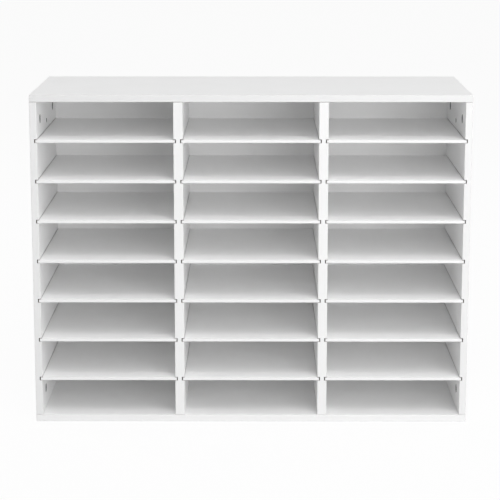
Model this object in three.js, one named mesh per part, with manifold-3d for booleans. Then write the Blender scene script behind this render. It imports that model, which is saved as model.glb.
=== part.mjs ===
// Flat-pack pigeonhole mail sorter: three bays of loose shelves that slide in grooved uprights.
// Millimetres, +Z up, front towards -Y, origin at the middle of the footprint on the floor.
import * as THREE from "three";
import { mergeVertices, toCreasedNormals } from "three/addons/utils/BufferGeometryUtils.js";
import Module from "manifold-3d";

const wasm = await Module();
wasm.setup();

// Layout
const bayNames = ["left", "middle", "right"];
const dividerNames = ["left_divider", "right_divider"];
const shelvesPerBay = 7;

// Sizes of the case
const bayWidth = 230;
const slotHeight = 64;
const bottomSlotHeight = 62;
const caseDepth = 305;
const sideThickness = 12;
const dividerThickness = 16;
const boardThickness = 12;
const edgeRadius = 0.8; // eased arris of the thick boards
const jointGap = 0.3; // open line between an upright's end and the board that covers it
const fitGap = 0.3; // clearance round anything that sits in a hole or groove

// Shelves and the grooves that carry them
const shelfThickness = 5;
const shelfEase = 0.6;
const grooveDepth = 4.5;
const shelfEndGap = 1.5; // left at the bottom of the groove, at each end of a shelf
const shelfHeadroom = 1; // left above the shelf, inside the groove

// Back panel, let into a groove all round
const backThickness = 3;
const backInset = 8; // from the panel to the rear edges of the case
const backGrooveDepth = 4;

// Cam locks, which tie the sides to the top and bottom boards
const camBoreDiameter = 15;
const camDistance = 34; // from the end of the side to the axis of the cam
const camFrontInset = 50;
const camRearInset = 62;
const camWeb = 2; // wood left behind the cam
const camWall = 2.2;
const camRecessFloor = 0.9; // metal left under the driver recess
const driverWidth = 2;
const driverLength = 8;
const lockTurn = 110; // degrees from the bolt's entry to its locked place

// Bolts that the cams draw on
const boltHeadDiameter = 6;
const boltHeadLength = 2.4;
const boltNeckDiameter = 3.4;
const boltNeckLength = 4;
const boltShankDiameter = 5;
const boltCollarDiameter = 6.4;
const boltCollarLength = 1.6;
const boltThreadDiameter = 5;
const boltTipLength = 1.2;
const boardWeb = 2.5; // wood left over a hole in the top or bottom board

// Dowels
const dowelDiameter = 6;
const dowelInUpright = 20;
const dowelChamfer = 0.8;
const dividerDowelInset = 45;

// Blind peg hole inside each side, under the top board
const pegHoleDiameter = 8;
const pegHoleDepth = 8;
const pegHoleDrop = 49;
const pegHoleInset = 147;

// Fineness of round work
const boreSegments = 20;
const smallSegments = 12;
const creaseAngle = Math.PI / 6;
const overrun = 1; // how far a cutter passes the face that it opens

// Worked out from the sizes above
const bayCount = bayNames.length;
const dividerCount = dividerNames.length;
const caseWidth = bayCount * bayWidth + dividerCount * dividerThickness + 2 * sideThickness;
const shelfPitch = slotHeight + shelfThickness;
const caseHeight = 2 * boardThickness + shelvesPerBay * shelfPitch + bottomSlotHeight;
const frontY = -caseDepth / 2;
const rearY = caseDepth / 2;
const backRearY = rearY - backInset;
const backFrontY = backRearY - backThickness;
const uprightRearY = backFrontY - fitGap; // dividers and shelves stop here
const topUnderside = caseHeight - boardThickness;
const uprightFoot = boardThickness + jointGap;
const uprightHead = topUnderside - jointGap;
const sideInnerX = caseWidth / 2 - sideThickness;
const boltAxisDepth = sideThickness / 2; // below the inner face of a side
const camHeight = sideThickness - camWeb - 2 * fitGap;
const camRoof = boltAxisDepth - boltHeadDiameter / 2 - 2 * fitGap;
const camRadius = camBoreDiameter / 2 - fitGap;
const camInnerRadius = camRadius - camWall;
const holeInBoard = boardThickness - boardWeb;
const dowelInBoard = holeInBoard - fitGap;
const camRows = [
  { name: "front", y: frontY + camFrontInset },
  { name: "rear", y: rearY - camRearInset },
];
const ends = [
  { name: "top", up: 1, face: topUnderside, end: uprightHead },
  { name: "bottom", up: -1, face: boardThickness, end: uprightFoot },
];
const sides = [
  { name: "left", inward: 1, innerX: -sideInnerX },
  { name: "right", inward: -1, innerX: sideInnerX },
];

// Finishes
const whiteBoard = new THREE.MeshStandardMaterial({ color: "#f2f2f2", roughness: 0.42, metalness: 0 });
const whiteShelf = new THREE.MeshStandardMaterial({ color: "#f4f4f4", roughness: 0.5, metalness: 0 });
const whiteBack = new THREE.MeshStandardMaterial({ color: "#f2f2f2", roughness: 0.58, metalness: 0 });
const dieCastZinc = new THREE.MeshStandardMaterial({ color: "#a9adb1", roughness: 0.42, metalness: 0.9 });
const platedSteel = new THREE.MeshStandardMaterial({ color: "#c3c7ca", roughness: 0.32, metalness: 1 });
const beech = new THREE.MeshStandardMaterial({ color: "#cfa878", roughness: 0.7, metalness: 0 });

// A closed three.js geometry as a solid that can be cut and joined.
function solidFrom(geometry) {
  const bare = geometry.clone();
  bare.deleteAttribute("normal");
  bare.deleteAttribute("uv");
  const merged = mergeVertices(bare, 1e-4);
  return new wasm.Manifold(
    new wasm.Mesh({
      numProp: 3,
      vertProperties: new Float32Array(merged.attributes.position.array),
      triVerts: new Uint32Array(merged.index.array),
    }),
  );
}

// A solid back as three.js geometry, with its edges kept crisp.
function geometryFrom(solid) {
  const mesh = solid.getMesh();
  const geometry = new THREE.BufferGeometry();
  geometry.setAttribute("position", new THREE.BufferAttribute(mesh.vertProperties, 3));
  geometry.setIndex(new THREE.BufferAttribute(mesh.triVerts, 1));
  return toCreasedNormals(geometry, creaseAngle);
}

// The block that fills the space between two corners.
function block(low, high) {
  const size = high.map((value, axis) => value - low[axis]);
  const middle = high.map((value, axis) => (value + low[axis]) / 2);
  return new THREE.BoxGeometry(...size).translate(...middle);
}

// A round cutter from one point to another.
function drill(start, end, diameter, segments) {
  const from = new THREE.Vector3(...start);
  const to = new THREE.Vector3(...end);
  const along = to.clone().sub(from);
  const turn = new THREE.Quaternion().setFromUnitVectors(
    new THREE.Vector3(0, 1, 0),
    along.clone().normalize(),
  );
  const middle = from.add(to).multiplyScalar(0.5);
  return new THREE.CylinderGeometry(diameter / 2, diameter / 2, along.length(), segments)
    .applyQuaternion(turn)
    .translate(middle.x, middle.y, middle.z);
}

// A rectangle in the plane of an extrusion, with its four corners rounded.
function roundedRectangle(width, length, radius) {
  const x = width / 2;
  const y = length / 2;
  const shape = new THREE.Shape();
  shape.moveTo(-x + radius, -y);
  shape.lineTo(x - radius, -y);
  shape.absarc(x - radius, -y + radius, radius, -Math.PI / 2, 0);
  shape.lineTo(x, y - radius);
  shape.absarc(x - radius, y - radius, radius, 0, Math.PI / 2);
  shape.lineTo(-x + radius, y);
  shape.absarc(-x + radius, y - radius, radius, Math.PI / 2, Math.PI);
  shape.lineTo(-x, -y + radius);
  shape.absarc(-x + radius, -y + radius, radius, Math.PI, 1.5 * Math.PI);
  return shape;
}

// A flat sheet between two corners, eased along every edge of both faces and at its four corners.
function easedSheet(low, high, ease) {
  const [width, length, thickness] = high.map((value, axis) => value - low[axis]);
  const outline = roundedRectangle(width, length, 2 * ease);
  return new THREE.ExtrudeGeometry(outline, {
    depth: thickness - 2 * ease,
    bevelEnabled: true,
    bevelThickness: ease,
    bevelSize: ease,
    bevelOffset: -ease,
    bevelSegments: 1,
    curveSegments: 1,
  }).translate((low[0] + high[0]) / 2, (low[1] + high[1]) / 2, low[2] + ease);
}

// A standing board between two corners: its long edges are rounded and its sawn ends are square.
function upright(low, high) {
  const [thickness, length, height] = high.map((value, axis) => value - low[axis]);
  const outline = roundedRectangle(thickness, length, edgeRadius);
  return new THREE.ExtrudeGeometry(outline, {
    depth: height,
    bevelEnabled: false,
    curveSegments: 2,
  }).translate((low[0] + high[0]) / 2, (low[1] + high[1]) / 2, low[2]);
}

// One geometry less a list of cutters.
function cutFrom(geometry, cutters) {
  const cut = cutters.reduce((solid, cutter) => solid.subtract(solidFrom(cutter)), solidFrom(geometry));
  return geometryFrom(cut);
}

// Underside of a shelf, counted from the top of its bay.
function shelfUnderside(number) {
  return topUnderside - number * shelfPitch;
}

// Left face of a bay, counted from the left.
function bayLeftX(bay) {
  return -sideInnerX + bay * (bayWidth + dividerThickness);
}

// The seven shelf grooves in one face of an upright, run out at its front and rear edges.
function shelfGrooves(faceX, inward) {
  const floorX = faceX - inward * grooveDepth;
  const mouthX = faceX + inward * overrun;
  return Array.from({ length: shelvesPerBay }, (_, index) => {
    const underside = shelfUnderside(index + 1);
    return block(
      [Math.min(floorX, mouthX), frontY - overrun, underside - fitGap],
      [Math.max(floorX, mouthX), rearY + overrun, underside + shelfThickness + shelfHeadroom],
    );
  });
}

// Holes in the two ends of an upright for a row of dowels.
function dowelHolesInUpright(x, rows) {
  return ends.flatMap(({ up, end }) =>
    rows.map((y) =>
      drill(
        [x, y, end + up * overrun],
        [x, y, end - up * (dowelInUpright + fitGap)],
        dowelDiameter + 2 * fitGap,
        smallSegments,
      ),
    ),
  );
}

// Bores of the cam locks in one side: the round pocket, and the bolt's way in from the end.
function camBores(innerX, inward) {
  const outward = -inward;
  const axisX = innerX + outward * boltAxisDepth;
  return ends.flatMap(({ up, end }) =>
    camRows.flatMap(({ y }) => {
      const z = end - up * camDistance;
      const pocket = drill(
        [innerX + inward * overrun, y, z],
        [innerX + outward * (sideThickness - camWeb), y, z],
        camBoreDiameter,
        boreSegments,
      );
      const boltWay = drill(
        [axisX, y, end + up * overrun],
        [axisX, y, z],
        boltCollarDiameter + 2 * fitGap,
        smallSegments,
      );
      return [pocket, boltWay];
    }),
  );
}

// Upright groove for the back panel, cut in the inner face of a side.
function backGrooveInSide(innerX, inward) {
  const floorX = innerX - inward * backGrooveDepth;
  const mouthX = innerX + inward * overrun;
  return block(
    [Math.min(floorX, mouthX), backFrontY - fitGap, uprightFoot - overrun],
    [Math.max(floorX, mouthX), backRearY + fitGap, uprightHead + overrun],
  );
}

const sideDowelRows = [(camRows[0].y + camRows[1].y) / 2];
const dividerDowelRows = [frontY + dividerDowelInset, uprightRearY - dividerDowelInset];

// A side panel with its shelf grooves, back groove, cam bores, dowel holes and peg hole.
function sidePanel({ inward, innerX }) {
  const outerX = innerX - inward * sideThickness;
  const board = upright(
    [Math.min(innerX, outerX), frontY, uprightFoot],
    [Math.max(innerX, outerX), rearY, uprightHead],
  );
  const pegY = frontY + pegHoleInset;
  const pegZ = topUnderside - pegHoleDrop;
  const pegHole = drill(
    [innerX + inward * overrun, pegY, pegZ],
    [innerX - inward * pegHoleDepth, pegY, pegZ],
    pegHoleDiameter,
    smallSegments,
  );
  return cutFrom(board, [
    ...shelfGrooves(innerX, inward),
    backGrooveInSide(innerX, inward),
    ...camBores(innerX, inward),
    ...dowelHolesInUpright((innerX + outerX) / 2, sideDowelRows),
    pegHole,
  ]);
}

// A divider, grooved on both faces, standing in front of the back panel.
function divider(leftX) {
  const rightX = leftX + dividerThickness;
  const board = upright([leftX, frontY, uprightFoot], [rightX, uprightRearY, uprightHead]);
  return cutFrom(board, [
    ...shelfGrooves(leftX, -1),
    ...shelfGrooves(rightX, 1),
    ...dowelHolesInUpright((leftX + rightX) / 2, dividerDowelRows),
  ]);
}

// Middle of each divider, from the left.
const dividerMiddles = dividerNames.map((_, index) => bayLeftX(index + 1) - dividerThickness / 2);

// The dowels' places: one in the middle of each side's end, two in each divider's end.
const dowelPlaces = [
  ...sides.flatMap(({ name, innerX, inward }) =>
    sideDowelRows.map((y) => ({ name: `${name}_side`, x: innerX - inward * boltAxisDepth, y })),
  ),
  ...dividerNames.flatMap((name, index) =>
    dividerDowelRows.map((y, row) => ({ name: `${name}_${camRows[row].name}`, x: dividerMiddles[index], y })),
  ),
];

// The top or bottom board, with the holes and the back groove in its inner face.
function coverBoard({ up, face }) {
  const outerZ = face + up * boardThickness;
  const board = easedSheet(
    [-caseWidth / 2, frontY, Math.min(face, outerZ)],
    [caseWidth / 2, rearY, Math.max(face, outerZ)],
    edgeRadius,
  );
  const mouthZ = face - up * overrun;
  const holeFloorZ = face + up * holeInBoard;
  const boltHoles = sides.flatMap(({ innerX, inward }) =>
    camRows.map(({ y }) => {
      const x = innerX - inward * boltAxisDepth;
      return drill([x, y, mouthZ], [x, y, holeFloorZ], boltThreadDiameter + 2 * fitGap, smallSegments);
    }),
  );
  const dowelHoles = dowelPlaces.map(({ x, y }) =>
    drill([x, y, mouthZ], [x, y, holeFloorZ], dowelDiameter + 2 * fitGap, smallSegments),
  );
  const grooveFloorZ = face + up * backGrooveDepth;
  const backGroove = block(
    [-sideInnerX - backGrooveDepth, backFrontY - fitGap, Math.min(mouthZ, grooveFloorZ)],
    [sideInnerX + backGrooveDepth, backRearY + fitGap, Math.max(mouthZ, grooveFloorZ)],
  );
  return cutFrom(board, [...boltHoles, ...dowelHoles, backGroove]);
}

// The back panel, held by its four edges.
function backPanel() {
  const bite = backGrooveDepth - fitGap;
  return block(
    [-sideInnerX - bite, backFrontY, boardThickness - bite],
    [sideInnerX + bite, backRearY, topUnderside + bite],
  );
}

// A loose shelf, tongued into the grooves on both sides of its bay.
function shelf(bay, number) {
  const tongue = grooveDepth - shelfEndGap;
  const leftX = bayLeftX(bay);
  const underside = shelfUnderside(number);
  return easedSheet(
    [leftX - tongue, frontY, underside],
    [leftX + bayWidth + tongue, uprightRearY, underside + shelfThickness],
    shelfEase,
  );
}

// The part of a ring between two angles in degrees, as a flat outline.
function ringSector(innerRadius, outerRadius, fromAngle, toAngle) {
  const from = THREE.MathUtils.degToRad(fromAngle);
  const to = THREE.MathUtils.degToRad(toAngle);
  const shape = new THREE.Shape();
  shape.absarc(0, 0, outerRadius, from, to, false);
  shape.absarc(0, 0, innerRadius, to, from, true);
  return shape;
}

// A cam: its axis is Z with the driver face at the top, and it holds its bolt along +X.
// The bolt's head came in through the round window and the turn left its neck in the long slot.
function camLock() {
  const drum = new THREE.CylinderGeometry(camRadius, camRadius, camHeight, boreSegments)
    .rotateX(Math.PI / 2)
    .translate(0, 0, -camHeight / 2);
  const floorZ = -camHeight - overrun;
  const hollow = drill([0, 0, -camRoof], [0, 0, floorZ], 2 * camInnerRadius, boreSegments);
  const axisZ = fitGap - boltAxisDepth;
  const slotWidth = boltNeckDiameter + 2 * fitGap;
  const halfSlot = THREE.MathUtils.radToDeg(slotWidth / 2 / camInnerRadius);
  const neckSlot = new THREE.ExtrudeGeometry(
    ringSector(camInnerRadius - overrun, camRadius + overrun, -halfSlot, lockTurn),
    { depth: slotWidth, bevelEnabled: false, curveSegments: smallSegments },
  ).translate(0, 0, axisZ - slotWidth / 2);
  const entry = THREE.MathUtils.degToRad(lockTurn);
  const reach = camRadius + overrun;
  const window = drill(
    [0, 0, axisZ],
    [reach * Math.cos(entry), reach * Math.sin(entry), axisZ],
    boltHeadDiameter + 2 * fitGap,
    smallSegments,
  );
  const recessFloor = camRecessFloor - camRoof;
  const driverSlots = [
    block([-driverLength / 2, -driverWidth / 2, recessFloor], [driverLength / 2, driverWidth / 2, overrun]),
    block([-driverWidth / 2, -driverLength / 2, recessFloor], [driverWidth / 2, driverLength / 2, overrun]),
  ];
  return cutFrom(drum, [hollow, neckSlot, window, ...driverSlots]);
}

// A bolt turned about Z: z = 0 is the face of the board it screws into, the head is at the far end.
function camBolt() {
  const neckEnd = camDistance + jointGap - camInnerRadius + fitGap;
  const neckStart = neckEnd - boltNeckLength;
  const headEnd = neckEnd + boltHeadLength;
  const tip = fitGap - holeInBoard;
  const ease = (boltHeadDiameter - boltNeckDiameter) / 4;
  const profile = [
    [0, tip],
    [boltThreadDiameter / 2 - boltTipLength / 2, tip],
    [boltThreadDiameter / 2, tip + boltTipLength],
    [boltThreadDiameter / 2, fitGap],
    [boltCollarDiameter / 2, fitGap],
    [boltCollarDiameter / 2, fitGap + boltCollarLength],
    [boltShankDiameter / 2, fitGap + boltCollarLength],
    [boltShankDiameter / 2, neckStart - ease],
    [boltNeckDiameter / 2, neckStart],
    [boltNeckDiameter / 2, neckEnd],
    [boltHeadDiameter / 2, neckEnd + ease],
    [boltHeadDiameter / 2, headEnd - ease],
    [boltHeadDiameter / 2 - ease, headEnd],
    [0, headEnd],
  ].map(([radius, z]) => new THREE.Vector2(radius, z));
  return new THREE.LatheGeometry(profile, smallSegments).rotateX(Math.PI / 2);
}

// A dowel turned about Z: z = 0 is the face of the board, and most of it stands in the upright.
function dowel() {
  const radius = dowelDiameter / 2;
  const foot = -dowelInBoard;
  const head = dowelInUpright + jointGap;
  const profile = [
    [0, foot],
    [radius - dowelChamfer, foot],
    [radius, foot + dowelChamfer],
    [radius, head - dowelChamfer],
    [radius - dowelChamfer, head],
    [0, head],
  ].map(([distance, z]) => new THREE.Vector2(distance, z));
  return new THREE.LatheGeometry(profile, smallSegments).rotateX(Math.PI / 2);
}

const mailSorter = new THREE.Group();

// Adds one named piece to the sorter and returns it for placing.
function place(name, geometry, material) {
  const mesh = new THREE.Mesh(geometry, material);
  mesh.name = name;
  mailSorter.add(mesh);
  return mesh;
}

ends.forEach((end) => place(`${end.name}_board`, coverBoard(end), whiteBoard));
sides.forEach((side) => place(`${side.name}_side_panel`, sidePanel(side), whiteBoard));
dividerNames.forEach((name, index) => {
  place(name, divider(bayLeftX(index + 1) - dividerThickness), whiteBoard);
});
place("back_panel", backPanel(), whiteBack);

bayNames.forEach((bayName, bay) => {
  for (let number = 1; number <= shelvesPerBay; number += 1) {
    place(`shelf_${bayName}_${number}`, shelf(bay, number), whiteShelf);
  }
});

const camGeometry = camLock();
const boltGeometry = camBolt();
const dowelGeometry = dowel();

// Each joint of a side holds a cam, turned so that its driver face shows inside the bay, and a bolt.
ends.forEach(({ name: endName, up, face, end }) => {
  const intoUpright = new THREE.Vector3(0, 0, -up);
  const towardBoard = new THREE.Vector3(0, 0, up);
  sides.forEach(({ name: sideName, inward, innerX }) => {
    const inwardAxis = new THREE.Vector3(inward, 0, 0);
    const acrossAxis = new THREE.Vector3().crossVectors(inwardAxis, towardBoard);
    const camTurn = new THREE.Matrix4().makeBasis(towardBoard, acrossAxis, inwardAxis);
    const boltTurn = new THREE.Quaternion().setFromUnitVectors(new THREE.Vector3(0, 0, 1), intoUpright);
    camRows.forEach(({ name: rowName, y }) => {
      const cam = place(`cam_${sideName}_${endName}_${rowName}`, camGeometry, dieCastZinc);
      cam.setRotationFromMatrix(camTurn);
      cam.position.set(innerX - inward * fitGap, y, end - up * camDistance);
      const bolt = place(`bolt_${sideName}_${endName}_${rowName}`, boltGeometry, platedSteel);
      bolt.quaternion.copy(boltTurn);
      bolt.position.set(innerX - inward * boltAxisDepth, y, face);
    });
  });
  dowelPlaces.forEach(({ name, x, y }) => {
    const pin = place(`dowel_${name}_${endName}`, dowelGeometry, beech);
    pin.quaternion.setFromUnitVectors(new THREE.Vector3(0, 0, 1), intoUpright);
    pin.position.set(x, y, face);
  });
});

export default mailSorter;
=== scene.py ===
import math

import bpy
import numpy as np
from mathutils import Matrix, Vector


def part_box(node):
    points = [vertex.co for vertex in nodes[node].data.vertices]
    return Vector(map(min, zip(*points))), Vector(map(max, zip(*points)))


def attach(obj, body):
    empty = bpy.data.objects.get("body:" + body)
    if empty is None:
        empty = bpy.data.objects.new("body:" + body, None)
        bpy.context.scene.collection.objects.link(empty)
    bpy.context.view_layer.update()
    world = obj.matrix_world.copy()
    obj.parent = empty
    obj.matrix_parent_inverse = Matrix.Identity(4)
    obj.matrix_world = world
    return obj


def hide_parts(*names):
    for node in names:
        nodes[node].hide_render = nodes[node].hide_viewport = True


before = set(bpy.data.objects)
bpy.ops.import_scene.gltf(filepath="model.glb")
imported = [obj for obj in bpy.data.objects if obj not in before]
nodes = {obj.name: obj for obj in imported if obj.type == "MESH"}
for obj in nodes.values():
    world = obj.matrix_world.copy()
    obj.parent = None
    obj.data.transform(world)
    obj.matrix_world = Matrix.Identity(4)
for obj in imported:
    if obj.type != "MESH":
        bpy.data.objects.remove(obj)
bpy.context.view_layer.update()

mm = 0.001
quarterTurn = math.pi / 2
bays = ("left", "middle", "right")
sides = ("left", "right")
ends = ("top", "bottom")
camRows = ("front", "rear")
shelfCount = 7


# Camera

photoView = {
    "place": (0.009, -3.180, 0.910),  # metres from the middle of the sorter's foot
    "tiltDown": 11.32,                # degrees
    "turnLeft": 0.2,                  # degrees
    "lens": 130.3,                    # mm
    "sensor": 36,                     # mm wide
    "farLimit": 80,                   # metres, past the far side of the floor
}


def makeCamera(view):
    data = bpy.data.cameras.new("photoCamera")
    data.lens = view["lens"]
    data.sensor_width = view["sensor"]
    data.clip_end = view["farLimit"]
    camera = bpy.data.objects.new("photoCamera", data)
    camera.location = view["place"]
    camera.rotation_euler = (quarterTurn - math.radians(view["tiltDown"]), 0, math.radians(view["turnLeft"]))
    bpy.context.scene.collection.objects.link(camera)
    bpy.context.scene.camera = camera


makeCamera(photoView)
print("camera set")


# Node helpers

def addNode(tree, kind, feeds=None, **settings):
    # what feeds a node is another node's socket, which is linked, or a plain value
    made = tree.nodes.new("ShaderNode" + kind)
    for name, value in settings.items():
        setattr(made, name, value)
    for label, value in (feeds or {}).items():
        if isinstance(value, bpy.types.NodeSocket):
            tree.links.new(value, made.inputs[label])
        else:
            made.inputs[label].default_value = value
    return made


def maths(tree, operation, *terms):
    return addNode(tree, "Math", dict(enumerate(terms)), operation=operation).outputs[0]


def remap(tree, value, span, low=0.0, high=1.0):
    # the span of a value is stretched to run from low to high, and held there beyond
    feeds = {"Value": value, "From Min": span[0], "From Max": span[1], "To Min": low, "To Max": high}
    return addNode(tree, "MapRange", feeds).outputs[0]


def mixColour(tree, factor, colourA, colourB):
    # a Mix node has several sockets called A, B and Result: these are the ones for colours
    return addNode(tree, "Mix", {0: factor, 6: colourA, 7: colourB}, data_type="RGBA").outputs[2]


def objectPoint(tree):
    return addNode(tree, "TexCoord").outputs["Object"]


def noise(tree, point, size, detail=2.0, roughness=0.5):
    feeds = {"Vector": point, "Scale": 1 / size, "Detail": detail, "Roughness": roughness}
    return addNode(tree, "TexNoise", feeds).outputs["Fac"]


def surfaceValue(tree, name):
    return addNode(tree, "Attribute", attribute_name=name).outputs["Fac"]


def newGroup(name, inputs, outputs):
    tree = bpy.data.node_groups.new(name, "ShaderNodeTree")
    for way, sockets in (("INPUT", inputs), ("OUTPUT", outputs)):
        for label, kind in sockets.items():
            tree.interface.new_socket(label, in_out=way, socket_type="NodeSocket" + kind)
    return tree, tree.nodes.new("NodeGroupInput").outputs, tree.nodes.new("NodeGroupOutput").inputs


def useGroup(tree, group, **values):
    return addNode(tree, "Group", values, node_tree=group).outputs


# Effects that several finishes share

noiseSpan = (0.3, 0.7)  # where most of a noise texture's values lie

filmGrain = {
    "cloudSize": 160 * mm,
    "touchSize": 45 * mm,
    "touchDulls": 0.06,    # how far handling moves the roughness, either way
    "pebbleSize": 1.1 * mm,
    "pebbleDulls": 0.03,
}


def makeFaceFilm():
    # cast of a pressed white film: a faint cloudiness, fine pebbling,
    # and a gloss that wanders where hands have been
    tree, given, out = newGroup(
        "faceFilm",
        {"Colour": "Color", "Cloud": "Float", "Pebble": "Float", "Roughness": "Float"},
        {"Colour": "Color", "Roughness": "Float", "Height": "Float"},
    )
    point = objectPoint(tree)
    cloud = noise(tree, point, filmGrain["cloudSize"], detail=3.0)
    touch = noise(tree, point, filmGrain["touchSize"], detail=4.0, roughness=0.6)
    pebble = noise(tree, point, filmGrain["pebbleSize"], detail=3.0, roughness=0.55)
    shade = maths(tree, "MULTIPLY_ADD", maths(tree, "SUBTRACT", cloud, 0.5), given["Cloud"], 1.0)
    clouded = addNode(tree, "VectorMath", {0: given["Colour"], 1: shade}, operation="MULTIPLY").outputs[0]
    handled = remap(tree, touch, noiseSpan, -filmGrain["touchDulls"], filmGrain["touchDulls"])
    grit = remap(tree, pebble, noiseSpan, -filmGrain["pebbleDulls"], filmGrain["pebbleDulls"])
    roughness = maths(tree, "ADD", given["Roughness"], maths(tree, "ADD", handled, grit))
    tree.links.new(clouded, out["Colour"])
    tree.links.new(roughness, out["Roughness"])
    tree.links.new(maths(tree, "MULTIPLY", pebble, given["Pebble"]), out["Height"])
    return tree


arrisRub = {
    "patchSize": 35 * mm,
    "patchSpan": (0.45, 0.7),
    "chipSize": 2.5 * mm,
    "chipSpan": (0.45, 0.6),
    "chipLeast": 0.25,
}


def makeArrisWear():
    # rubbed corners: the arris value of the mesh, broken up by two sizes of noise
    tree, given, out = newGroup("arrisWear", {"Amount": "Float"}, {"Mask": "Float"})
    point = objectPoint(tree)
    patch = remap(tree, noise(tree, point, arrisRub["patchSize"], detail=3.0), arrisRub["patchSpan"])
    chips = noise(tree, point, arrisRub["chipSize"], detail=4.0, roughness=0.65)
    chip = remap(tree, chips, arrisRub["chipSpan"], arrisRub["chipLeast"])
    rubbed = maths(tree, "MULTIPLY", maths(tree, "MULTIPLY", patch, chip), surfaceValue(tree, "arris"))
    tree.links.new(maths(tree, "MULTIPLY", rubbed, given["Amount"]), out["Mask"])
    return tree


dustFall = {
    "facingUp": (0.6, 1.0),   # upward share of the normal over which dust takes hold
    "driftSize": 120 * mm,
    "driftSpan": (0.35, 0.7),
    "driftLeast": 0.2,
    "speckSize": 1.8 * mm,
    "speckSpan": (0.5, 0.75),
    "speckLeast": 0.4,
}


def makeSettledDust():
    # dust lies where a surface faces up, in soft drifts with fine specks
    tree, given, out = newGroup("settledDust", {"Amount": "Float"}, {"Mask": "Float"})
    point = objectPoint(tree)
    up = addNode(tree, "SeparateXYZ", {0: addNode(tree, "TexCoord").outputs["Normal"]}).outputs["Z"]
    lying = remap(tree, up, dustFall["facingUp"])
    drifts = noise(tree, point, dustFall["driftSize"], detail=3.0)
    drift = remap(tree, drifts, dustFall["driftSpan"], dustFall["driftLeast"])
    specks = noise(tree, point, dustFall["speckSize"])
    speck = remap(tree, specks, dustFall["speckSpan"], dustFall["speckLeast"])
    lain = maths(tree, "MULTIPLY", maths(tree, "MULTIPLY", lying, drift), speck)
    tree.links.new(maths(tree, "MULTIPLY", lain, given["Amount"]), out["Mask"])
    return tree


slideMarkAndShade = {"size": 1.2 * mm, "stretch": 50, "least": 0.6}


def makeSlideScuffAndShade():
    # streaks along the way a piece slides, where the mesh says that it rubs; there they also lay painted
    # shade along the shelves' ends
    tree, _, out = newGroup("slideScuffAndShade", {}, {"Mask": "Float"})
    feeds = {"Vector": objectPoint(tree), "Scale": (1, 1 / slideMarkAndShade["stretch"], 1)}
    drawn = addNode(tree, "Mapping", feeds).outputs[0]
    streaks = noise(tree, drawn, slideMarkAndShade["size"], detail=3.0, roughness=0.6)
    streak = remap(tree, streaks, noiseSpan, slideMarkAndShade["least"])
    tree.links.new(maths(tree, "MULTIPLY", streak, surfaceValue(tree, "rubAndShade")), out["Mask"])
    return tree


metalMottle = {
    "blotchSize": 4 * mm,
    "blotchSpan": (0.35, 0.65),
    "blotchDulls": 0.2,
    "grainSize": 0.4 * mm,
}


def makeMetalGrain():
    # dull blotches over a fine grain, for cast and plated metal
    tree, given, out = newGroup(
        "metalGrain",
        {"Light": "Color", "Dark": "Color", "Roughness": "Float"},
        {"Colour": "Color", "Roughness": "Float", "Height": "Float"},
    )
    point = objectPoint(tree)
    blotch = noise(tree, point, metalMottle["blotchSize"], detail=4.0, roughness=0.6)
    dulled = remap(tree, blotch, metalMottle["blotchSpan"])
    roughness = maths(tree, "MULTIPLY_ADD", blotch, metalMottle["blotchDulls"], given["Roughness"])
    tree.links.new(mixColour(tree, dulled, given["Light"], given["Dark"]), out["Colour"])
    tree.links.new(roughness, out["Roughness"])
    tree.links.new(noise(tree, point, metalMottle["grainSize"]), out["Height"])
    return tree


faceFilm = makeFaceFilm()
arrisWear = makeArrisWear()
settledDust = makeSettledDust()
slideScuffAndShade = makeSlideScuffAndShade()
metalGrain = makeMetalGrain()


# Finishes

def newFinish(name):
    finish = bpy.data.materials.new(name)
    finish.use_nodes = True
    shader = finish.node_tree.nodes["Principled BSDF"]
    return finish, finish.node_tree, shader


def feedShader(tree, shader, look, colour, roughness, height):
    tree.links.new(colour, shader.inputs["Base Color"])
    tree.links.new(roughness, shader.inputs["Roughness"])
    feeds = {"Height": height, "Distance": look["bumpDepth"], "Strength": look["bumpStrength"]}
    tree.links.new(addNode(tree, "Bump", feeds).outputs["Normal"], shader.inputs["Normal"])


boardLook = {
    "colour": (0.90, 0.90, 0.90, 1),
    "bandAndShadeColour": (0.68, 0.68, 0.68, 1),  # the front edges, where their shade is 1: the band's own grey, and painted shade where the fronts take the most light
    "cloud": 0.02,
    "pebble": 1.0,
    "roughness": 0.42,
    "bumpDepth": 0.02 * mm,
    "bumpStrength": 0.6,
    "wear": 0.35,
    "wornColour": (0.55, 0.53, 0.50, 1),
    "dust": 0.06,
    "dustColour": (0.62, 0.60, 0.57, 1),
    "dulling": 0.3,                       # roughness that wear and dust add
    "seam": 0.6,
    "seamColour": (0.45, 0.44, 0.42, 1),
    # scuffs, which on the shelves' ends are also painted shade along the grooves
    "scuffAndShade": 0.0,
    "scuffAndShadeColour": (0.36, 0.35, 0.34, 1),
}
# the shelves' fronts are greyer too: a band tone and painted shade
shelfLook = dict(
    boardLook,
    colour=(0.92, 0.92, 0.92, 1),
    bandAndShadeColour=(0.76, 0.76, 0.76, 1),
    roughness=0.48,
    pebble=0.7,
    wear=0.45,
    scuffAndShade=0.8,
)
backLook = dict(boardLook, colour=(0.91, 0.91, 0.91, 1), roughness=0.55, pebble=1.4, dust=0.0)


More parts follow.
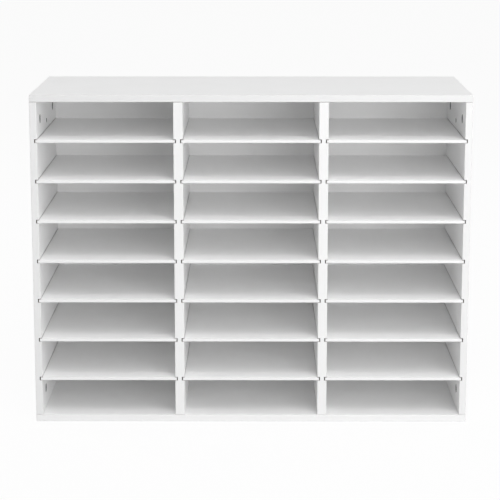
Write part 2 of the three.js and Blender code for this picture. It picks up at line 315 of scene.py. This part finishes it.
def whiteFinish(name, look):
    # white film, greyer on the edge band, where it is also painted shade, and over it the band's seam, scuffs
    # with painted shade on the shelves' ends, rubbed corners and dust
    finish, tree, shader = newFinish(name)
    # the band value mixes in the band's grey, which on the fronts is also painted shade
    base = mixColour(tree, surfaceValue(tree, "band"), look["colour"], look["bandAndShadeColour"])
    film = useGroup(tree, faceFilm, Colour=base, Cloud=look["cloud"], Pebble=look["pebble"],
                    Roughness=look["roughness"])
    worn = useGroup(tree, arrisWear, Amount=look["wear"])["Mask"]
    dust = useGroup(tree, settledDust, Amount=look["dust"])["Mask"]
    seam = maths(tree, "MULTIPLY", surfaceValue(tree, "seam"), look["seam"])
    # scuffs, with painted shade along the shelves' ends
    scuffAndShade = maths(tree, "MULTIPLY", useGroup(tree, slideScuffAndShade)["Mask"], look["scuffAndShade"])
    colour = mixColour(tree, seam, film["Colour"], look["seamColour"])
    colour = mixColour(tree, scuffAndShade, colour, look["scuffAndShadeColour"])
    colour = mixColour(tree, worn, colour, look["wornColour"])
    colour = mixColour(tree, dust, colour, look["dustColour"])
    dulled = maths(tree, "MAXIMUM", worn, dust)
    roughness = maths(tree, "MULTIPLY_ADD", dulled, look["dulling"], film["Roughness"])
    feedShader(tree, shader, look, colour, roughness, film["Height"])
    return finish


# browns darker than bare fibreboard: painted shade in the grooves
coreAndShadeLook = {
    "pale": (0.24, 0.20, 0.165, 1),
    "dark": (0.14, 0.115, 0.095, 1),
    "paleRoughness": 0.93,
    "darkRoughness": 0.77,
    "fibre": 0.7 * mm,
    "bumpDepth": 0.15 * mm,
    "bumpStrength": 0.5,
}
# the bores' walls far darker than the sawn core: painted shade in the holes
boreShadeLook = dict(coreAndShadeLook, pale=(0.10, 0.082, 0.068, 1), dark=(0.05, 0.041, 0.034, 1))


def coreFinish(name, look):
    # sawn fibreboard: pressed fibres of two browns, held darker than bare board as painted shade in grooves
    # and bores, with a felted surface
    finish, tree, shader = newFinish(name)
    fibre = noise(tree, objectPoint(tree), look["fibre"], detail=4.0, roughness=0.7)
    colour = mixColour(tree, remap(tree, fibre, noiseSpan), look["dark"], look["pale"])
    roughness = remap(tree, fibre, noiseSpan, look["darkRoughness"], look["paleRoughness"])
    feedShader(tree, shader, look, colour, roughness, fibre)
    return finish


# zinc held far darker than bare cast zinc: painted shade for the cams down in their bores
zincShadeLook = {
    "light": (0.26, 0.26, 0.27, 1),
    "dark": (0.15, 0.15, 0.16, 1),
    "roughness": 0.42,
    "bumpDepth": 0.03 * mm,
    "bumpStrength": 0.4,
}
steelLook = dict(zincShadeLook, light=(0.72, 0.73, 0.74, 1), dark=(0.58, 0.59, 0.60, 1), roughness=0.2)


def metalFinish(name, look):
    finish, tree, shader = newFinish(name)
    grain = useGroup(tree, metalGrain, Light=look["light"], Dark=look["dark"], Roughness=look["roughness"])
    feedShader(tree, shader, look, grain["Colour"], grain["Roughness"], grain["Height"])
    shader.inputs["Metallic"].default_value = 1.0
    return finish


beechLook = {
    "pale": (0.68, 0.48, 0.28, 1),
    "dark": (0.52, 0.33, 0.17, 1),
    "paleRoughness": 0.57,
    "darkRoughness": 0.70,
    "ring": 1.1 * mm,
    "ringSpan": (0.35, 0.65),
    "stretch": 12.5,
    "bumpDepth": 0.08 * mm,
    "bumpStrength": 0.5,
}


def beechFinish(name, look):
    # grain drawn out along the dowel's length
    finish, tree, shader = newFinish(name)
    feeds = {"Vector": objectPoint(tree), "Scale": (1, 1, 1 / look["stretch"])}
    drawn = addNode(tree, "Mapping", feeds).outputs[0]
    grain = noise(tree, drawn, look["ring"], detail=4.0, roughness=0.6)
    colour = mixColour(tree, remap(tree, grain, look["ringSpan"]), look["dark"], look["pale"])
    roughness = remap(tree, grain, noiseSpan, look["darkRoughness"], look["paleRoughness"])
    feedShader(tree, shader, look, colour, roughness, grain)
    return finish


whiteBoard = whiteFinish("whiteBoard", boardLook)
whiteShelf = whiteFinish("whiteShelf", shelfLook)
whiteBack = whiteFinish("whiteBack", backLook)
rawCoreAndShade = coreFinish("rawCoreAndShade", coreAndShadeLook)
boreShadeCore = coreFinish("boreShadeCore", boreShadeLook)
zincWithPaintedShade = metalFinish("zincWithPaintedShade", zincShadeLook)
platedSteel = metalFinish("platedSteel", steelLook)
beechWood = beechFinish("beechWood", beechLook)
print("finishes made:", len(bpy.data.materials))


# Surfaces

weldDecimals = 8  # of a metre, to which points in the same place agree
sharpAngle = 30   # degrees between two faces, past which their edge stays sharp


def closedFaces(rows, columns):
    # four-cornered faces over a grid whose columns close on themselves, and one flat face over each end
    row, column = np.meshgrid(np.arange(rows - 1), np.arange(columns), indexing="ij")
    here = row * columns + column
    beside = row * columns + (column + 1) % columns
    around = np.stack([here, beside, beside + columns, here + columns], -1).reshape(-1, 4)
    first = list(range(columns))
    last = list(range((rows - 1) * columns, rows * columns))
    return around.tolist() + [first[::-1], last]


def weld(points, faces):
    # points in the same place become one, a face keeps each corner once, and one with no area goes:
    # the numbers of the points and of the faces that are kept, and those faces
    rounded = np.round(points, weldDecimals)
    _, keptPoints, index = np.unique(rounded, axis=0, return_index=True, return_inverse=True)
    welded = [list(dict.fromkeys(index.ravel()[face].tolist())) for face in faces]
    keptFaces = [number for number, face in enumerate(welded) if len(face) > 2]
    return keptPoints, keptFaces, [welded[number] for number in keptFaces]


def turned(profile, steps, place, axis):
    # a profile of radius and height spun about an axis, closed at both ends:
    # place + height * axis + radius * (cos t, sin t) across it
    radius, height = np.asarray(profile, float).T
    along = Vector(axis).normalized()
    across = along.orthogonal().normalized()
    third = along.cross(across)
    t = np.linspace(0, 2 * math.pi, steps, endpoint=False)
    circle = np.outer(np.cos(t), across) + np.outer(np.sin(t), third)
    points = radius[:, None, None] * circle + height[:, None, None] * np.array(along) + np.array(place)
    return points.reshape(-1, 3), closedFaces(len(radius), steps)


def prism(outline, heights, scales, place, axes):
    # a flat outline swept up its own normal, closed at both ends:
    # scale * (u, v) across it, with one scale and one height for each ring
    flat = np.asarray(outline, float)
    rings = np.asarray(scales, float)[:, None, None] * flat
    lift = np.broadcast_to(np.asarray(heights, float)[:, None, None], rings.shape[:2] + (1,))
    points = np.concatenate([rings, lift], -1).reshape(-1, 3) @ np.asarray(axes, float) + np.array(place)
    return points, closedFaces(len(heights), len(flat))


def makePiece(name, points, faces, finishes, faceFinish=None, **surfaceValues):
    mesh = bpy.data.meshes.new(name)
    mesh.from_pydata(np.asarray(points).tolist(), [], faces)
    for finish in finishes:
        mesh.materials.append(finish)
    if faceFinish is not None:
        mesh.polygons.foreach_set("material_index", np.asarray(faceFinish, dtype=np.int32))
    corners = np.empty(len(mesh.loops), dtype=np.int32)
    mesh.loops.foreach_get("vertex_index", corners)
    for label, values in surfaceValues.items():
        # kept at the faces' corners, since a cut gives its new points no sound values
        mesh.attributes.new(label, "FLOAT", "CORNER").data.foreach_set("value", values[corners])
    piece = bpy.data.objects.new(name, mesh)
    bpy.context.scene.collection.objects.link(piece)
    return piece


def cutFrom(piece, shapes):
    # each shape is taken out of the piece in turn, and its walls get the piece's last finish
    finishes = list(piece.data.materials)
    for points, faces in shapes:
        tool = makePiece("cutter", points, faces, finishes, np.full(len(faces), len(finishes) - 1))
        bore = piece.modifiers.new("bore", "BOOLEAN")
        bore.operation = "DIFFERENCE"
        bore.solver = "EXACT"
        bore.object = tool
        graph = bpy.context.evaluated_depsgraph_get()
        cut = bpy.data.meshes.new_from_object(piece.evaluated_get(graph), depsgraph=graph)
        piece.modifiers.clear()
        piece.data = cut
        bpy.data.objects.remove(tool)


def finishPiece(piece, node, body="case"):
    # flats stay flat and rounded edges smooth, then the piece takes its node's place
    mesh = piece.data
    mesh.polygons.foreach_set("use_smooth", np.ones(len(mesh.polygons), dtype=bool))
    mesh.set_sharp_from_angle(angle=math.radians(sharpAngle))
    flats = piece.modifiers.new("flats", "WEIGHTED_NORMAL")
    flats.keep_sharp = True
    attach(piece, body)
    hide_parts(node)


def edgePath(frontY, rearY, edge):
    # from front to back: y = radius * (1 - cos a) and inset = radius * (1 - sin a) round each edge,
    # with the hairline of the edge band let in behind the front one, whose rounding carries
    # the band's grey and painted shade up to the face
    a = np.linspace(0, quarterTurn, edge["steps"] + 1)
    roundY = edge["radius"] * (1 - np.cos(a))
    inset = edge["radius"] * (1 - np.sin(a))
    arris = np.sin(2 * a)
    none = np.zeros_like(a)
    bandAndShade = np.full_like(a, edge["bandToneAndPaintedShade"])
    bandAndShade[-1] = 0
    front = np.stack([frontY + roundY, inset, arris, none, bandAndShade])
    rear = np.stack([rearY - roundY, inset, arris, none, none])[:, ::-1]
    if not edge["band"]:
        return np.concatenate([front, rear], 1)
    half = edge["hairline"] / 2
    bandY = frontY + edge["band"]
    flat = [0, 0, 0]
    hairline = [[bandY - half, bandY, bandY + half], [0, edge["hairlineDepth"], 0], flat, [0, 1, 0], flat]
    return np.concatenate([front, hairline, rear], 1)


def sectionOf(table, core):
    # a row for each point of a closed outline: x, z, lean in x and z, arris, seam and rub, the rub also
    # painted shade;
    # core is 1 for a side of the outline that is bare board
    return {
        "points": table[:, 0:2],
        "lean": table[:, 2:4],
        "arris": table[:, 4],
        "seam": table[:, 5],
        "rubAndShade": table[:, 6],
        "core": core,
    }


def slabCorner(edge):
    # the upper right corner from its end to its face, in rows as sectionOf takes them:
    # radius * (cos a - 1, sin a - 1), then the hairline of the end's edge band,
    # or the inner limit of the tongue that slides in a groove, whose rubbed strip is also painted shade
    a = np.linspace(0, quarterTurn, edge["steps"] + 1)
    direction = np.stack([np.cos(a), np.sin(a)], -1)
    rubbed = np.full_like(a, 1 if edge["tongue"] else 0)
    corner = edge["radius"] * (direction - 1)
    rows = [np.column_stack([corner, -direction, np.sin(2 * a), np.zeros_like(a), rubbed])]
    if edge["band"]:
        half = edge["hairline"] / 2
        bandX = -edge["band"]
        rows.append([
            (bandX + half, 0, 0, -1, 0, 0, 0),
            (bandX, -edge["hairlineDepth"], 0, -1, 0, 1, 0),
            (bandX - half, 0, 0, -1, 0, 0, 0),
        ])
    if edge["tongue"]:
        inner = -edge["tongue"]
        rows.append([(inner, 0, 0, -1, 0, 0, 1), (inner - edge["tongueFade"], 0, 0, -1, 0, 0, 0)])
    return np.concatenate(rows)


def slabSection(low, high, edge):
    # a rectangle in x and z, whose four corners are one corner flipped each way
    corner = slabCorner(edge)
    middle = np.array([(low[0] + high[0]) / 2, (low[2] + high[2]) / 2])
    half = np.array([(high[0] - low[0]) / 2, (high[2] - low[2]) / 2])
    corners = []
    for flip, order in (((1, -1), -1), ((1, 1), 1), ((-1, 1), -1), ((-1, -1), 1)):
        points = middle + flip * (half + corner[:, 0:2])
        flipped = np.column_stack([points, flip * corner[:, 2:4], corner[:, 4:]])
        corners.append(flipped[::order])
    table = np.concatenate(corners)
    return sectionOf(table, np.zeros(len(table), dtype=int))


def grooveSteps(x, inward, spans, depth):
    # four points for each groove, from its foot into the board and out again at its head
    stepIn = np.tile([0, 1, 1, 0], len(spans))
    z = np.repeat(spans, 2, axis=1).ravel()
    return np.stack([x + inward * depth * stepIn, z, inward * (1 - stepIn), 0 * stepIn], -1)


def uprightSection(low, high, leftSpans, rightSpans, depth):
    # square-ended board in x and z whose faces step in by the groove's depth over every span
    x0, x1, z0, z1 = low[0], high[0], low[2], high[2]
    foot = [(x0, z0, 1, 0), (x1, z0, -1, 0)]
    head = [(x1, z1, -1, 0), (x0, z1, 1, 0)]
    right = grooveSteps(x1, -1, rightSpans, depth)
    left = grooveSteps(x0, 1, leftSpans, depth)[::-1]
    outline = np.concatenate([foot, right, head, left])
    plain = np.zeros((len(outline), 3))
    sawn = [1, 0]
    routed = [1, 1, 1, 0]
    core = [sawn, np.tile(routed, len(rightSpans)), sawn, np.tile(routed, len(leftSpans))]
    return sectionOf(np.column_stack([outline, plain]), np.concatenate(core).astype(int))


def carriedPanel(name, section, path, finishes):
    # the section at every station of the path, drawn in by the station's inset: point + inset * lean
    y, inset, pathArris, pathSeam, pathBandAndShade = path
    flat = section["points"] + inset[:, None, None] * section["lean"]
    rows, count = flat.shape[:2]
    depth = np.broadcast_to(y[:, None], (rows, count))
    points = np.stack([flat[..., 0], depth, flat[..., 1]], -1).reshape(-1, 3)
    faces = [face[::-1] for face in closedFaces(rows, count)]
    core = np.concatenate([np.tile(section["core"], rows - 1), [0, 0]])
    between = np.ones((rows, 1))
    between[[0, -1]] = 0  # the flat front and rear faces stay clear of the section's values
    values = {
        "arris": np.maximum(pathArris[:, None], between * section["arris"]),
        "seam": np.maximum(pathSeam[:, None], between * section["seam"]),
        # rub: rubbing, and painted shade on the shelves' ends
        "rubAndShade": between * section["rubAndShade"],
        # the band's grey and painted shade on the front, as much as the piece's shade sets
        "band": np.broadcast_to(pathBandAndShade[:, None], (rows, count)),
    }
    keptPoints, keptFaces, faces = weld(points, faces)
    keptValues = {label: value.ravel()[keptPoints] for label, value in values.items()}
    return makePiece(name, points[keptPoints], faces, finishes, core[keptFaces], **keptValues)


# Holes that the fasteners need

hole = {
    "clearance": 0.3 * mm,
    "steps": 48,
    "mouthEase": 0.25 * mm,
    "overrun": 1 * mm,     # of a cut, past the face that it opens
    "camDiameter": 15 * mm,
    "camDepth": 10 * mm,
    "pegDiameter": 8 * mm,
    "pegDepth": 8 * mm,
    "pegDrop": 49 * mm,    # below the top board
    "pegInset": 147 * mm,  # behind the front edge
    "boltThread": 5 * mm,
}


def faceBore(place, outward, diameter, depth):
    # a blind bore with its lip just broken: the profile widens over the last of its height
    radius = diameter / 2
    ease = hole["mouthEase"]
    over = hole["overrun"]
    profile = [(radius, -depth), (radius, -ease), (radius + ease + over, over)]
    return turned(profile, hole["steps"], place, outward)


def boltWay(node):
    # thread hole in the board and a wider way through the upright, up to the cam
    low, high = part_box(node)
    wide = (high.x - low.x) / 2 + hole["clearance"]
    narrow = hole["boltThread"] / 2 + hole["clearance"]
    isTop = "_top_" in node
    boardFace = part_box("top_board")[0].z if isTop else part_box("bottom_board")[1].z
    into = -1 if isTop else 1
    foot = (high.z if isTop else low.z) - into * hole["clearance"]
    head = low.z if isTop else high.z
    profile = [(narrow, into * (foot - boardFace)), (narrow, 0), (wide, 0), (wide, into * (head - boardFace))]
    place = ((low.x + high.x) / 2, (low.y + high.y) / 2, boardFace)
    return turned(profile, hole["steps"], place, (0, 0, into))


def dowelHole(node):
    # a plain bore round the dowel, with clearance all over
    low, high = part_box(node)
    radius = (high.x - low.x) / 2 + hole["clearance"]
    profile = [(radius, low.z - hole["clearance"]), (radius, high.z + hole["clearance"])]
    return turned(profile, hole["steps"], ((low.x + high.x) / 2, (low.y + high.y) / 2, 0), (0, 0, 1))


def backGroove():
    # the room that the back panel's edges take in the boards round it
    low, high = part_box("back_panel")
    reach = Vector((hole["clearance"], hole["clearance"], hole["clearance"]))
    low, high = low - reach, high + reach
    outline = [(low.x, low.y), (high.x, low.y), (high.x, high.y), (low.x, high.y)]
    return prism(outline, (low.z, high.z), (1, 1), (0, 0, 0), np.eye(3))


bolts = [f"bolt_{side}_{end}_{row}" for side in sides for end in ends for row in camRows]
cams = [name.replace("bolt", "cam") for name in bolts]
sideDowels = [f"dowel_{side}_side_{end}" for side in sides for end in ends]
dividerDowels = [f"dowel_{side}_divider_{row}_{end}" for side in sides for row in camRows for end in ends]


# Top and bottom boards

boardEdge = {
    "radius": 0.8 * mm,
    "steps": 4,
    "band": 1.6 * mm,
    # the fronts' grey per board is partly painted shade: the top front darker where less light falls
    "bandToneAndPaintedShade": {"top": 1.0, "bottom": 0.63},
    "hairline": 0.16 * mm,
    "hairlineDepth": 0.08 * mm,
    "tongue": 0,
}


def makeBoard(end):
    node = f"{end}_board"
    low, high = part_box(node)
    edge = dict(boardEdge, bandToneAndPaintedShade=boardEdge["bandToneAndPaintedShade"][end])
    section = slabSection(low, high, edge)
    path = edgePath(low.y, high.y, edge)
    board = carriedPanel(f"{end}Board", section, path, [whiteBoard, rawCoreAndShade])
    holes = [boltWay(name) for name in bolts if f"_{end}_" in name]
    holes += [dowelHole(name) for name in sideDowels + dividerDowels if name.endswith(end)]
    cutFrom(board, holes + [backGroove()])
    finishPiece(board, node)


for end in ends:
    makeBoard(end)
print("top and bottom boards made")


# Side panels and dividers, grooved for the shelves

# the fronts' grey, partly painted shade set to how much light each front takes
sideEdge = dict(boardEdge, bandToneAndPaintedShade=0.84)
dividerEdge = dict(boardEdge, bandToneAndPaintedShade=0.68)
shelfGroove = {"depth": 4.5 * mm, "below": 0.3 * mm, "above": 1 * mm}
noGrooves = np.empty((0, 2))


def grooveSpans(bay):
    # foot and head of each groove, from the lowest shelf up
    boxes = [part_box(f"shelf_{bay}_{number}") for number in range(shelfCount, 0, -1)]
    return np.array([(low.z - shelfGroove["below"], high.z + shelfGroove["above"]) for low, high in boxes])


def makeSide(side):
    node = f"{side}_side_panel"
    low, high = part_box(node)
    spans = grooveSpans(side)
    if side == "left":
        innerX, inward, leftSpans, rightSpans = high.x, (1, 0, 0), noGrooves, spans
    else:
        innerX, inward, leftSpans, rightSpans = low.x, (-1, 0, 0), spans, noGrooves
    section = uprightSection(low, high, leftSpans, rightSpans, shelfGroove["depth"])
    path = edgePath(low.y, high.y, sideEdge)
    panel = carriedPanel(f"{side}Side", section, path, [whiteBoard, rawCoreAndShade, boreShadeCore])
    pegPlace = (innerX, low.y + hole["pegInset"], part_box("top_board")[0].z - hole["pegDrop"])
    holes = [faceBore(pegPlace, inward, hole["pegDiameter"], hole["pegDepth"])]
    for name in cams:
        if f"_{side}_" in name:
            camLow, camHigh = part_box(name)
            camPlace = (innerX, (camLow.y + camHigh.y) / 2, (camLow.z + camHigh.z) / 2)
            holes.append(faceBore(camPlace, inward, hole["camDiameter"], hole["camDepth"]))
    holes += [boltWay(name) for name in bolts if f"_{side}_" in name]
    holes += [dowelHole(name) for name in sideDowels if f"_{side}_" in name]
    cutFrom(panel, holes + [backGroove()])
    finishPiece(panel, node)


def makeDivider(side):
    node = f"{side}_divider"
    low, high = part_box(node)
    spans = grooveSpans("middle")
    section = uprightSection(low, high, spans, spans, shelfGroove["depth"])
    path = edgePath(low.y, high.y, dividerEdge)
    divider = carriedPanel(f"{side}Divider", section, path, [whiteBoard, rawCoreAndShade])
    cutFrom(divider, [dowelHole(name) for name in dividerDowels if f"_{side}_" in name])
    finishPiece(divider, node)


for side in sides:
    makeSide(side)
    makeDivider(side)
print("side panels and dividers made")


# Back panel and shelves

backEdge = {"radius": 0.3 * mm, "steps": 4, "band": 0, "bandToneAndPaintedShade": 0, "tongue": 0}
shelfEdge = {
    "radius": 0.6 * mm,
    "steps": 4,
    "band": 0,
    "bandToneAndPaintedShade": 1.0,
    "tongue": 3.2 * mm,       # rubbed by the grooves, and darkened as painted shade at the grooves' lips
    "tongueFade": 0.3 * mm,
}


def makeSheet(name, node, edge, finish, body):
    low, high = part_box(node)
    sheet = carriedPanel(name, slabSection(low, high, edge), edgePath(low.y, high.y, edge), [finish])
    finishPiece(sheet, node, body)


makeSheet("backPanel", "back_panel", backEdge, whiteBack, "case")
for bay in bays:
    for number in range(1, shelfCount + 1):
        node = f"shelf_{bay}_{number}"
        makeSheet(f"{bay}Shelf{number}", node, shelfEdge, whiteShelf, node)
print("back panel and shelves made")


# Cam locks

cam = {
    "steps": 64,
    "rim": 0.5 * mm,
    "rimSteps": 5,
    "rimWidth": 1.4 * mm,
    "dish": 0.25 * mm,        # how far the middle of the face lies below its rim
    "crossLength": 8 * mm,
    "crossWidth": 2 * mm,
    "crossDepth": 1.5 * mm,
    "crossTaper": 0.8,        # share of its size at the foot
    "arrowGap": 0.5 * mm,     # from the cross
    "arrowWidth": 2.2 * mm,
    "arrowDepth": 0.35 * mm,
    "wall": 2.2 * mm,
    "roof": 2.4 * mm,
    "boltDepth": 5.7 * mm,    # of the bolt's axis below the face
    "neckSlot": 4 * mm,
    "window": 6.6 * mm,
    "lockTurn": 110,          # degrees from the window to the bolt's locked place
}


def crossOutline(length, width):
    # one arm's end and the corner beside it, turned four times by a quarter turn
    tip, half = length / 2, width / 2
    quarter = np.array([(tip, -half), (tip, half), (half, half)])
    turns = [np.array([[math.cos(t), math.sin(t)], [-math.sin(t), math.cos(t)]])
             for t in np.arange(4) * quarterTurn]
    return np.concatenate([quarter @ turn for turn in turns])


def sectorOutline(innerRadius, outerRadius, fromAngle, toAngle):
    # part of a ring: out along one arc and back along the other
    t = np.linspace(fromAngle, toAngle, cam["steps"] // 2)
    arc = np.stack([np.cos(t), np.sin(t)], -1)
    return np.concatenate([outerRadius * arc, innerRadius * arc[::-1]])


def drumProfile(radius, height):
    # from the foot up: rim * (1 - cos a) in and rim * (1 - sin a) down round the eased rim,
    # then the dished face
    a = np.linspace(0, quarterTurn, cam["rimSteps"] + 1)
    rim = np.stack([radius - cam["rim"] * (1 - np.cos(a)), -cam["rim"] * (1 - np.sin(a))], -1)
    lip = radius - cam["rimWidth"]
    return [(radius, -height), *rim, (lip, 0), (lip - cam["dish"], -cam["dish"])]


def lockCuts(place, axes, radius, height):
    # hollow below its roof, with the window that lets the bolt's head in
    # and the slot that its neck turns along
    towardBoard, across, outward = axes
    over = hole["overrun"]
    reach = radius + over
    bore = radius - cam["wall"]
    hollow = [(bore, -height - over), (bore, -cam["roof"])]
    lockTurn = math.radians(cam["lockTurn"])
    entry = math.cos(lockTurn) * towardBoard + math.sin(lockTurn) * across
    boltPlace = place - cam["boltDepth"] * outward
    window = [(cam["window"] / 2, 0), (cam["window"] / 2, reach)]
    halfSlot = cam["neckSlot"] / 2
    neck = sectorOutline(bore - over, reach, -halfSlot / bore, lockTurn)
    return [
        turned(hollow, cam["steps"], place, outward),
        turned(window, cam["steps"] // 2, boltPlace, entry),
        prism(neck, (-halfSlot, halfSlot), (1, 1), boltPlace, axes),
    ]


def faceCuts(place, axes):
    # a tapered cross for the driver, and an arrow that points at the bolt
    over = hole["overrun"]
    cross = crossOutline(cam["crossLength"], cam["crossWidth"])
    taper = (cam["crossTaper"], 1 + (1 - cam["crossTaper"]) * over / cam["crossDepth"])
    half = cam["arrowWidth"] / 2
    foot = cam["crossLength"] / 2 + cam["arrowGap"]
    arrow = [(foot, -half), (foot + half, 0), (foot, half)]
    return [
        prism(cross, (-cam["crossDepth"], over), taper, place, axes),
        prism(arrow, (-cam["dish"] - cam["arrowDepth"], over), (1, 1), place, axes),
    ]


def makeCam(node):
    low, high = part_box(node)
    isLeft = "_left_" in node
    outward = np.array([1.0 if isLeft else -1.0, 0, 0])
    towardBoard = np.array([0, 0, 1.0 if "_top_" in node else -1.0])
    axes = [towardBoard, np.cross(outward, towardBoard), outward]
    faceX = high.x if isLeft else low.x
    place = np.array([faceX, (low.y + high.y) / 2, (low.z + high.z) / 2])
    radius = (high.z - low.z) / 2
    height = high.x - low.x
    points, faces = turned(drumProfile(radius, height), cam["steps"], place, outward)
    drum = makePiece(node.title().replace("_", "").replace("Cam", "cam", 1), points, faces, [zincWithPaintedShade])
    cutFrom(drum, lockCuts(place, axes, radius, height) + faceCuts(place, axes))
    finishPiece(drum, node)


for node in cams:
    makeCam(node)
print("cam locks made")


# Bolts and dowels keep their shapes from the frame

def refinish(names, finish):
    for name in names:
        nodes[name].data.materials.clear()
        nodes[name].data.materials.append(finish)


refinish(bolts, platedSteel)
refinish(sideDowels + dividerDowels, beechWood)
print("bolts and dowels finished")


# Studio

studio = {
    "floorSize": 60,
    "floorDrop": 0.2 * mm,   # below the sorter's foot
    "floorColour": (0.8, 0.8, 0.8, 1),
    "floorGlow": 0.95,       # share of plain white that the camera sees
    "white": (1, 1, 1, 1),
    "ambient": 0.24,
    "bounces": 16,           # light goes round many times inside a white pigeonhole
    "aim": (0, 0, 0.28),     # where every lamp points
    "lamps": {
        "front": {"place": (0, -3.57, 0.78), "size": 1.6, "power": 10.5},
        "key": {"place": (1.0, -2.48, 0.6), "size": 1.3, "power": 24},
        "high": {"place": (1.88, -3.54, 3.89), "size": 3.0, "power": 75},
        "overhead": {"place": (0, -2.54, 5.72), "size": 4.0, "power": 128},
        "rearLeft": {"place": (-2.6, 1.7, 0.8), "size": 1.4, "power": 26},
        "rearRight": {"place": (2.6, 1.7, 0.8), "size": 1.4, "power": 26},
    },
}


def seenDirectly(tree):
    # one for rays from the camera, off gloss or through glass, which see the plain white room
    path = addNode(tree, "LightPath").outputs
    either = maths(tree, "MAXIMUM", path["Is Camera Ray"], path["Is Glossy Ray"])
    return maths(tree, "MAXIMUM", either, path["Is Transmission Ray"])


def makeFloor():
    half = studio["floorSize"] / 2
    z = -studio["floorDrop"]
    points = np.array([(-half, -half, z), (half, -half, z), (half, half, z), (-half, half, z)])
    floorFinish = bpy.data.materials.new("paleFloor")
    floorFinish.use_nodes = True
    tree = floorFinish.node_tree
    tree.nodes.clear()
    matt = addNode(tree, "BsdfDiffuse", {"Color": studio["floorColour"]})
    glow = addNode(tree, "Emission", {"Color": studio["white"], "Strength": 1.0})
    share = maths(tree, "MULTIPLY", seenDirectly(tree), studio["floorGlow"])
    mixed = addNode(tree, "MixShader", {0: share, 1: matt.outputs[0], 2: glow.outputs[0]})
    addNode(tree, "OutputMaterial", {"Surface": mixed.outputs[0]})
    makePiece("floor", points, [[0, 1, 2, 3]], [floorFinish])


def makeLamp(name, lamp):
    data = bpy.data.lights.new(name, "AREA")
    data.shape = "SQUARE"
    data.size = lamp["size"]
    data.energy = lamp["power"]
    lampObject = bpy.data.objects.new(name, data)
    lampObject.location = lamp["place"]
    direction = Vector(studio["aim"]) - Vector(lamp["place"])
    lampObject.rotation_euler = direction.to_track_quat("-Z", "Y").to_euler()
    bpy.context.scene.collection.objects.link(lampObject)


def makeRoom():
    world = bpy.data.worlds.new("room")
    bpy.context.scene.world = world
    world.use_nodes = True
    tree = world.node_tree
    tree.nodes.clear()
    ambient = addNode(tree, "Background", {"Color": studio["white"], "Strength": studio["ambient"]})
    white = addNode(tree, "Background", {"Color": studio["white"], "Strength": 1.0})
    mixed = addNode(tree, "MixShader", {0: seenDirectly(tree), 1: ambient.outputs[0], 2: white.outputs[0]})
    addNode(tree, "OutputWorld", {"Surface": mixed.outputs[0]})


makeFloor()
for name, lamp in studio["lamps"].items():
    makeLamp(name, lamp)
makeRoom()
bpy.context.scene.view_settings.view_transform = "Standard"
bpy.context.scene.cycles.max_bounces = studio["bounces"]
bpy.context.scene.cycles.diffuse_bounces = studio["bounces"]
print("studio set")
